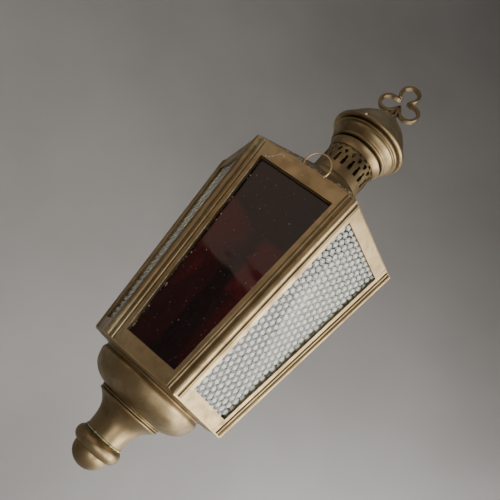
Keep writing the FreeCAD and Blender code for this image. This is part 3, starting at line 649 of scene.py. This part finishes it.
def bump_height(across, height):
    """Height of the pressed pattern: round bumps in staggered rows."""
    row = round(height / BUMP_ROW)
    nearest = BUMP_RADIUS
    for j in (row - 1, row, row + 1):
        shift = BUMP_PITCH / 2 if j % 2 else 0.0
        i = round((across - shift) / BUMP_PITCH)
        nearest = min(nearest, math.hypot(across - shift - i * BUMP_PITCH, height - j * BUMP_ROW))
    return BUMP_HEIGHT * (1 - (nearest / BUMP_RADIUS) ** 2)


def pane_spot(row, column):
    """Across and height of one grid point of a pane."""
    height = PANE_LOW + (PANE_HIGH - PANE_LOW) * row / PANE_ROWS
    reach = half_side(height) - (FLANGE_REACH - PANE_LAP)
    return reach * (2 * column / PANE_COLUMNS - 1), height


def build_pane(name, azimuth):
    """Pane pressed with bumps on its outer side and flat behind."""
    verts, faces, crowns = [], [], []
    stride = PANE_COLUMNS + 1
    for row in range(PANE_ROWS + 1):
        for column in range(stride):
            across, height = pane_spot(row, column)
            rise = bump_height(across, height)
            crowns.append(rise / BUMP_HEIGHT)
            verts.append(face_point(azimuth, across, height, PANE_FRONT + BUMP_HEIGHT - rise))
    for row in range(PANE_ROWS):
        for column in range(PANE_COLUMNS):
            first = row * stride + column
            faces.append((first, first + 1, first + 1 + stride, first + stride))
    last_row = PANE_ROWS * stride
    rim = list(range(PANE_COLUMNS))
    rim += [PANE_COLUMNS + row * stride for row in range(PANE_ROWS)]
    rim += [last_row + column for column in range(PANE_COLUMNS, 0, -1)]
    rim += [row * stride for row in range(PANE_ROWS, 0, -1)]
    back = list(range(len(verts), len(verts) + len(rim)))
    for index in rim:
        across, height = pane_spot(*divmod(index, stride))
        verts.append(face_point(azimuth, across, height, PANE_FRONT + PANE_THICKNESS))
    for k in range(len(rim)):
        after = (k + 1) % len(rim)
        faces.append((rim[k], back[k], back[after], rim[after]))
    faces.append(back)
    crowns += [0.0] * len(back)
    pane = mesh_object("pressed_pane_" + name, verts, faces)
    pane.data.attributes.new(CROWN, "FLOAT", "POINT").data.foreach_set("value", crowns)
    finish_piece(pane, "lantern", "clear_glass", MATERIALS["clear"], "pane_" + name)


def in_plane(angle, distance, centre):
    """Point at an angle and distance from a centre, in the finial's plane."""
    turn = math.radians(angle)
    return centre + Vector((math.cos(turn), 0, math.sin(turn))) * distance


def lobe_path(middle, angle):
    """One lobe of the finial, from cusp to cusp round the outside."""
    centre = in_plane(angle, LOBE_SPACING, middle)
    cusps = [in_plane(angle + turn, CUSP_RADIUS, middle) for turn in (-CUSP_TURN, CUSP_TURN)]
    offset = cusps[0] - centre
    swing = math.degrees(math.acos(LOBE_RADIUS / offset.length))
    bearing = math.degrees(math.atan2(offset.z, offset.x)) - angle
    start = bearing % 360 - 360 + swing
    turns = [angle + start - 2 * start * step / LOBE_STEPS for step in range(LOBE_STEPS + 1)]
    return [cusps[0]] + [in_plane(turn, LOBE_RADIUS, centre) for turn in turns] + [cusps[1]]


def cusp_pin(where):
    """Rounded pin across the strip that fills the joint of two lobes."""
    half = [(0.0, -STRIP_DEPTH / 2)]
    for angle in (-90, -60, -30, 0):
        turn = math.radians(angle)
        half.append((STRIP_THICKNESS / 2 - STRIP_ROUND + STRIP_ROUND * math.cos(turn),
                     STRIP_ROUND - STRIP_DEPTH / 2 + STRIP_ROUND * math.sin(turn)))
    rod = lathe("pin", half + [(radius, -depth) for radius, depth in reversed(half)], PIN_SIDES)
    for vertex in rod.data.vertices:
        x, y, z = vertex.co
        vertex.co = where + Vector((x, z, y))
    return rod


def build_trefoil():
    """Three lobes and two legs of one rounded strip."""
    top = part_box("trefoil")[1].z
    middle = Vector((0, 0, top - LOBE_SPACING - LOBE_RADIUS - STRIP_THICKNESS / 2))
    section = rounded_section(STRIP_THICKNESS, STRIP_DEPTH, STRIP_ROUND)
    across = Vector((0, 1, 0))
    parts = [planar_sweep("lobe", lobe_path(middle, angle), across, section) for angle in LOBE_ANGLES]
    parts += [cusp_pin(in_plane(angle - CUSP_TURN, CUSP_RADIUS, middle)) for angle in LOBE_ANGLES]
    crossing = in_plane(LOBE_ANGLES[1] + CUSP_TURN, CUSP_RADIUS, middle)
    for side in (-1, 1):
        foot = Vector((side * LEG_SPREAD, 0, DOME_TOP - LEG_TUCK))
        path = [crossing.lerp(foot, step / LEG_STEPS) for step in range(LEG_STEPS + 1)]
        parts.append(planar_sweep("leg", path, across, section))
    finish_piece(merged("trefoil_strip", parts), "lantern", "antique_brass", MATERIALS["finial"], "trefoil")


def build_loop():
    """Bent wire loop whose feet are soldered to the slide's top bar."""
    azimuth = FACES["front"]
    side = face_point(azimuth, 1, 0, 0) - face_point(azimuth, 0, 0, 0)
    up = (face_point(azimuth, 0, 1, 0) - face_point(azimuth, 0, 0, 0)).normalized()
    normal = side.cross(up)
    centre = face_point(azimuth, LOOP_OFFSET, BODY_HEIGHT - SLIDE_DROP + LOOP_RISE, LOOP_DEPTH)
    path = []
    for step in range(LOOP_STEPS + 1):
        turn = math.radians(-LOOP_FOOT_ANGLE + (180 + 2 * LOOP_FOOT_ANGLE) * step / LOOP_STEPS)
        path.append(centre + side * (LOOP_RADIUS * math.cos(turn)) + up * (LOOP_RADIUS * math.sin(turn)))
    foot_drop = up * (LOOP_RISE - LOOP_RADIUS * math.sin(math.radians(LOOP_FOOT_ANGLE)))
    path = [path[0] - foot_drop] + path + [path[-1] - foot_drop]
    wire = planar_sweep("loop_wire", path, normal, round_section(LOOP_WIRE))
    finish_piece(wire, "slide", "antique_brass", MATERIALS["wire"], "pull_loop")


def lump(name, centre, size, seed, roughness=0.25):
    """Blob of solder: an uneven flattened ball with half-sizes along X, Y and Z."""
    shape = bmesh.new()
    bmesh.ops.create_icosphere(shape, subdivisions=3, radius=1.0)
    for vertex in shape.verts:
        wobble = 1 + roughness * noise.noise(vertex.co * 1.7 + Vector((seed, seed * 0.37, 0)))
        vertex.co = Vector(centre) + Vector([value * half for value, half in zip(vertex.co * wobble, size)])
    data = bpy.data.meshes.new(name)
    shape.to_mesh(data)
    shape.free()
    return linked(name, data)


def solder_run(name, start, end, radius, seed, wander=0.0, side=Vector((0, 0, 1))):
    """Uneven bead of solder between two points, which swells, thins out and wanders to one side."""
    steps = max(int((end - start).length / (radius * 1.1)), 6)
    along = (end - start).normalized()
    across = along.cross(side).normalized()
    path, scale = [], []
    for k in range(steps + 1):
        share = k / steps
        drift = noise.noise(Vector((share * 9, seed, 0))) * wander
        path.append(start.lerp(end, share) + side * drift)
        swell = 0.8 + 0.7 * noise.noise(Vector((share * steps * 0.23, seed, 4.0)))
        ends = min(1.0, 0.35 + 6 * min(share, 1 - share))
        scale.append(max(swell, 0.3) * ends)
    return planar_sweep(name, path, across, round_section(radius, 8), scale)


def solder_ring(name, radius, height, wire, seed):
    """Uneven bead of solder round a joint between two turned pieces."""
    verts, faces = [], []
    around_count, tube_count = 160, 10
    for i in range(around_count):
        angle = 2 * math.pi * i / around_count
        spot = Vector((math.cos(angle), math.sin(angle), 0))
        swell = wire * (0.85 + 0.55 * noise.noise(spot * 9 + Vector((seed, 0, 0))))
        lift = wire * 0.4 * noise.noise(spot * 5 + Vector((0, seed, 0)))
        for j in range(tube_count):
            turn = 2 * math.pi * j / tube_count
            ring = radius + swell * math.cos(turn)
            verts.append(spot * ring + Vector((0, 0, height + lift + swell * math.sin(turn))))
    for i in range(around_count):
        following = (i + 1) % around_count
        for j in range(tube_count):
            after = (j + 1) % tube_count
            faces.append((i * tube_count + j, i * tube_count + after,
                          following * tube_count + after, following * tube_count + j))
    return mesh_object(name, verts, faces)


def solder_piece(name, parts, material="solder", body="lantern"):
    finish_piece(merged(name, parts), body, "antique_brass", MATERIALS[material])


def build_roof_seam(draw):
    """Broken bead of solder along the roof's edge, in runs of uneven length."""
    seams = []
    level = BODY_HEIGHT + ROOF_SEAM_RISE
    for azimuth in FACES.values():
        reach = half_side(level) - ROOF_SEAM_INSET
        cuts = sorted(draw.uniform(-reach, reach) for _ in range(ROOF_SEAM_CUTS))
        stops = [-reach - ROOF_SEAM_OVERRUN] + cuts + [reach + ROOF_SEAM_OVERRUN]
        for first, second in zip(stops, stops[1:]):
            if second - first < ROOF_SEAM_SHORTEST or draw.random() < ROOF_SEAM_SKIPPED:
                continue
            start = face_point(azimuth, first + ROOF_SEAM_GAP, level, ROOF_SEAM_DEPTH)
            end = face_point(azimuth, second - ROOF_SEAM_GAP, level, ROOF_SEAM_DEPTH)
            seed = draw.uniform(0, RUN_SEEDS)
            seams.append(solder_run("run", start, end, ROOF_SEAM_WIRE, seed, ROOF_SEAM_WANDER))
    solder_piece("roof_seam_solder", seams)


def build_post_heads(draw):
    """Blobs of solder where the roof sits on the posts."""
    blobs = []
    for azimuth in CORNERS:
        out = outward(azimuth)
        for _ in range(BLOBS_PER_POST):
            where = out * (TOP_CORNER - draw.uniform(2.6, 4.2) * MM)
            where += Vector((-out.y, out.x, 0)) * draw.uniform(-1.5, 1.5) * MM
            where.z = PLATE_TOP + BODY_HEIGHT + draw.uniform(0.6, 1.4) * MM
            size = [draw.uniform(0.7, 1.3) * MM for _ in range(3)]
            blobs.append(lump("blob", where, size, draw.uniform(0, BLOB_SEEDS)))
    solder_piece("post_head_solder", blobs)


def build_knob_seam():
    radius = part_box("bottom_knob")[1].x - KNOB_BEAD + KNOB_SEAM_STEP
    ring = solder_ring("knob_seam_solder", radius, KNOB_JOINT + KNOB_SEAM_LIFT, KNOB_SEAM_WIRE, 2.0)
    finish_piece(ring, "lantern", "antique_brass", MATERIALS["green_solder"])


def build_front_splash(draw, out):
    """Run of solder that wandered across the left end of the front rail, with blobs beside it."""
    front = FACES["front"]
    rail_half = half_side(BODY_HEIGHT)
    line = [face_point(front, share * rail_half, BODY_HEIGHT + rise * MM, -SPLASH_PROUD)
            for share, rise in SPLASH_LINE]
    splash = []
    for start, end in zip(line, line[1:]):
        seed = draw.uniform(0, RUN_SEEDS)
        splash.append(solder_run("run", start, end, SPLASH_WIRE, seed, SPLASH_WANDER, out))
    for share, rise, size in SPLASH_BLOBS:
        where = face_point(front, share * rail_half, BODY_HEIGHT + rise * MM, 0)
        half_sizes = (size * MM, SPLASH_BLOB_DEPTH, size * 0.8 * MM)
        splash.append(lump("blob", where, half_sizes, draw.uniform(0, BLOB_SEEDS), 0.6))
    solder_piece("front_rail_splash", splash)


def build_roof_crust(draw):
    """Grains of dirt and solder on the front slope of the roof, dropped onto it from above."""
    crust = []
    while len(crust) < CRUST_GRAINS:
        across, back = draw.uniform(*CRUST_ACROSS) * MM, draw.triangular(*CRUST_BACK) * MM
        drop_from = Vector((across, -back, CRUST_DROP_HEIGHT))
        hit, where, _, _ = nodes["roof"].ray_cast(drop_from, Vector((0, 0, -1)))
        size = draw.uniform(0.25, 0.75) * MM
        if hit and where.z > PLATE_TOP + BODY_HEIGHT:
            crust.append(lump("grain", where, (size, size, size * 0.6), draw.uniform(0, BLOB_SEEDS), 0.6))
    solder_piece("roof_front_crust", crust)


def build_frame_burr_highlights(draw, out):
    """Thin pale ragged edge along the posts beside the ruby glass, partly a painted highlight of the
    opening's edge.
    """
    burr_highlights = []
    for edge, low, high in BURR_HIGHLIGHTS:
        ends = []
        for height in (low * MM, high * MM):
            across = edge * (half_side(height) - FLANGE_REACH + BURR_INSET)
            ends.append(face_point(FACES["front"], across, height, BURR_DEPTH))
        burr_highlights.append(solder_run("run", *ends, BURR_WIRE, draw.uniform(0, RUN_SEEDS), BURR_WANDER, out))
    solder_piece("front_frame_burr_highlights", burr_highlights)


def build_slide_fleck_highlights(draw):
    """Pale flecks along the left edge of the ruby glass, partly a painted highlight of that edge, which move
    with the slide.
    """
    fleck_highlights = []
    for _ in range(RUBY_FLECK_HIGHLIGHTS):
        height = draw.uniform(14, 164) * MM
        across = draw.uniform(0.4, 1.8) * MM + FLANGE_REACH - half_side(height)
        where = face_point(FACES["front"], across, height, RUBY_DEPTH)
        size = draw.uniform(0.18, 0.5) * MM
        fleck_highlights.append(lump("fleck", where, (size, FLECK_DEPTH, size * 1.6), draw.uniform(0, BLOB_SEEDS), 0.6))
    solder_piece("slide_edge_fleck_highlights", fleck_highlights, body="slide")


def build_brim_glint_speck():
    # Pale solder speck on the brim, partly a painted glint
    where = outward(BRIM_GLINT_AZIMUTH) * RIM_RADIUS + Vector((0, 0, RIM_HEIGHT))
    speck = lump("brim_glint_speck", where, BRIM_GLINT_SIZE, 3.0, 0.4)
    finish_piece(speck, "lantern", "antique_brass", MATERIALS["solder"])


def build_finial_feet():
    """Low mounds of solder where the finial's legs stand on the dome."""
    feet = []
    for side in (-1, 1):
        where = (side * LEG_SPREAD, 0, DOME_TOP - FINIAL_FOOT_SIZE[2])
        feet.append(lump("blob", where, FINIAL_FOOT_SIZE, side * 2.0, 0.3))
    solder_piece("finial_foot_solder", feet, "finial")


def build_solder():
    """Every bead, blob and speck, all drawn from one seeded sequence."""
    draw = random.Random(SOLDER_SEED)
    front = FACES["front"]
    out = face_point(front, 0, 0, -1) - face_point(front, 0, 0, 0)
    build_roof_seam(draw)
    build_post_heads(draw)
    build_knob_seam()
    build_front_splash(draw, out)
    build_roof_crust(draw)
    build_frame_burr_highlights(draw, out)
    build_slide_fleck_highlights(draw)
    build_brim_glint_speck()
    build_finial_feet()


def candle_profile(radius, low, high):
    """Outline of the used candle: straight side, soft rim and dished top."""
    profile = [(0.0, low), (radius * 0.97, low), (radius, low + 1 * MM)]
    profile += [(radius, low + (high - low) * step / WAX_STEPS) for step in range(1, WAX_STEPS)]
    profile += [(radius - 0.2 * MM, high - 0.5 * MM), (radius - 0.9 * MM, high)]
    profile += [(radius - 1.8 * MM, high - 0.5 * MM), (radius * 0.55, high - 1.8 * MM)]
    return profile + [(radius * 0.2, high - 2.2 * MM), (0.0, high - 2.2 * MM)]


def wax_swell(spot, high):
    """How far the side of the candle stands out at a spot, from its grain and its runs of wax."""
    angle = math.atan2(spot.y, spot.x)
    swell = WAX_GRAIN * noise.noise(Vector((spot.x, spot.y, spot.z * 0.3)) * 260)
    for centre, length, share in WAX_RUNS:
        apart = abs((angle - centre + math.pi) % (2 * math.pi) - math.pi)
        below = (high - spot.z) / length
        if below < 1:
            width = 0.22 + 0.10 * math.exp(-((below - 0.9) / 0.1) ** 2)
            swell += WAX_RUN * share * math.exp(-(apart / width) ** 2) * min(1, (1 - below) * 8)
    return min(swell, WAX_LIMIT)


def build_candle():
    """Used candle with a dished top, a soft rim and three runs of wax down its side."""
    low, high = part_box("candle")[0].z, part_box("candle")[1].z
    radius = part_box("candle")[1].x - WAX_SHRINK
    candle = lathe("candle_wax", candle_profile(radius, low, high), CANDLE_SIDES)
    for vertex in candle.data.vertices:
        level = Vector((vertex.co.x, vertex.co.y, 0))
        if level.length < radius * 0.9 or vertex.co.z < low + WAX_FOOT:
            continue
        vertex.co += level.normalized() * wax_swell(vertex.co, high)
    finish_piece(candle, "candle", "wax", MATERIALS["wax"], "candle")


def build_wick():
    """Burnt wick that leans over as it rises."""
    foot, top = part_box("candle")[1].z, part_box("wick")[1].z
    points = [(0.0, foot - 2.6 * MM), (0.1, foot - 1 * MM), (0.3, foot + (top - foot) * 0.35),
              (0.9, foot + (top - foot) * 0.7), (1.9, foot + (top - foot) * 0.93), (2.5, top - 0.5 * MM)]
    path = [Vector((lean * MM, 0, z)) for lean, z in points]
    section = round_section(WICK_WIRE)
    wick = planar_sweep("burnt_wick", path, Vector((0, 1, 0)), section, WICK_TAPER)
    finish_piece(wick, "candle", "wick", MATERIALS["wick"], "wick")


paint_nodes()
for face_name, face_azimuth in FACES.items():
    if face_name != "front":
        build_pane(face_name, face_azimuth)
build_trefoil()
build_loop()
build_solder()
build_candle()
build_wick()
place_camera()
build_stage()
build_lights()
